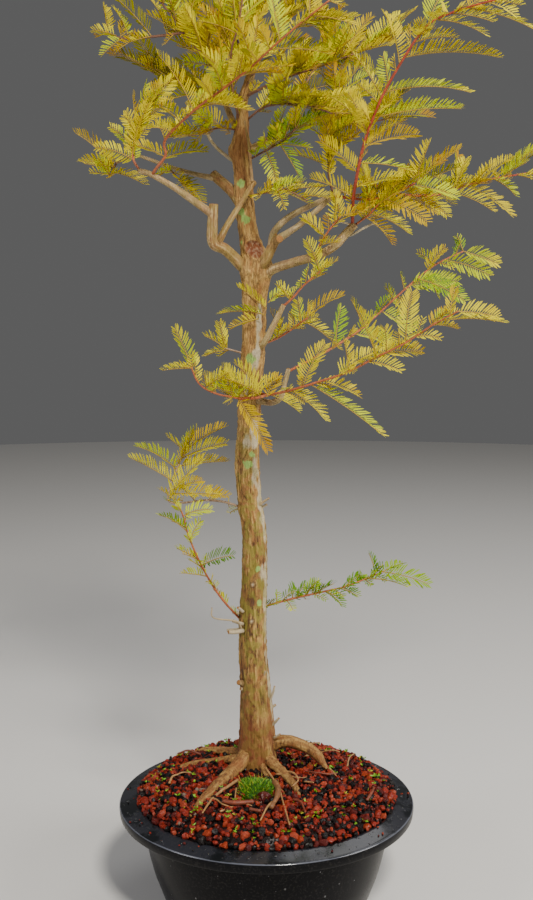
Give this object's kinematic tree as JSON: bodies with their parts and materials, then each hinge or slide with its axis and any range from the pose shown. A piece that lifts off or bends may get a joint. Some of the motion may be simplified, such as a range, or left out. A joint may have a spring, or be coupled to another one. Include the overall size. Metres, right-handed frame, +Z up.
{
  "type": "bald cypress bonsai",
  "caption": "Bald cypress bonsai in autumn colour: slim bare trunk with surface roots, upswept boughs and open feathery foliage, in a round black plastic training pot of lava grit.",
  "frame": {"origin": "centre of the pot's flat underside", "axes": "+Z up along the pot's axis, -Y the side the plant is seen from, +X to the right of that view"},
  "size_m": [0.5294, 0.3082, 0.9554],
  "materials": {
    "black_plastic": "satin black moulded plastic, wet in places",
    "lava_grit": "loose red and dark lava grains, damp",
    "moss": "soft bright moss",
    "trunk_bark": "fissured fibrous bark with lichen",
    "bough_bark": "thin bark, pale and reddish",
    "needles_low": "soft yellow-green needles",
    "needles_crown": "soft autumn-yellow needles"
  },
  "bodies": {
    "root": {"arm_lower": "bough_bark", "arm_upper": "bough_bark", "bough_back_high": "bough_bark", "bough_back_left": "bough_bark", "bough_back_right": "bough_bark", "bough_left_high": "bough_bark", "bough_left_low": "bough_bark", "bough_right_front": "bough_bark", "bough_right_low": "bough_bark", "branch_crossing": "bough_bark", "branch_left_high": "bough_bark", "branch_left_low": "bough_bark", "hook_mid": "bough_bark", "moss": "moss", "pot": "black_plastic", "soil": "lava_grit", "sprays_back_high": "needles_crown", "sprays_back_high_left": "needles_crown", "sprays_back_left": "needles_crown", "sprays_back_left_top": "needles_crown", "sprays_back_right": "needles_crown", "sprays_back_right_top": "needles_crown", "sprays_centre_green": "needles_crown", "sprays_centre_low": "needles_crown", "sprays_centre_orange": "needles_crown", "sprays_front_left": "needles_crown", "sprays_front_right": "needles_crown", "sprays_leader": "needles_crown", "sprays_left_droop": "needles_crown", "sprays_left_fan": "needles_crown", "sprays_left_sweep": "needles_crown", "sprays_left_tip": "needles_crown", "sprays_low_left": "needles_low", "sprays_low_right": "needles_low", "sprays_mid_inner": "needles_crown", "sprays_mid_left": "needles_low", "sprays_mid_right": "needles_crown", "sprays_mid_small": "needles_crown", "sprays_right_fan": "needles_crown", "sprays_right_inner": "needles_crown", "sprays_right_long": "needles_crown", "sprays_right_low": "needles_crown", "sprays_right_red": "needles_crown", "sprays_top_right": "needles_crown", "sprays_trunk_left": "needles_crown", "sprays_trunk_right": "needles_crown", "sprays_trunk_side": "needles_crown", "sprays_upper_left": "needles_crown", "sprays_upright_left": "needles_crown", "stub_mid": "bough_bark", "trunk": "trunk_bark", "twig_crossing": "bough_bark", "twig_dead_left": "bough_bark"}
  },
  "joints": []
}
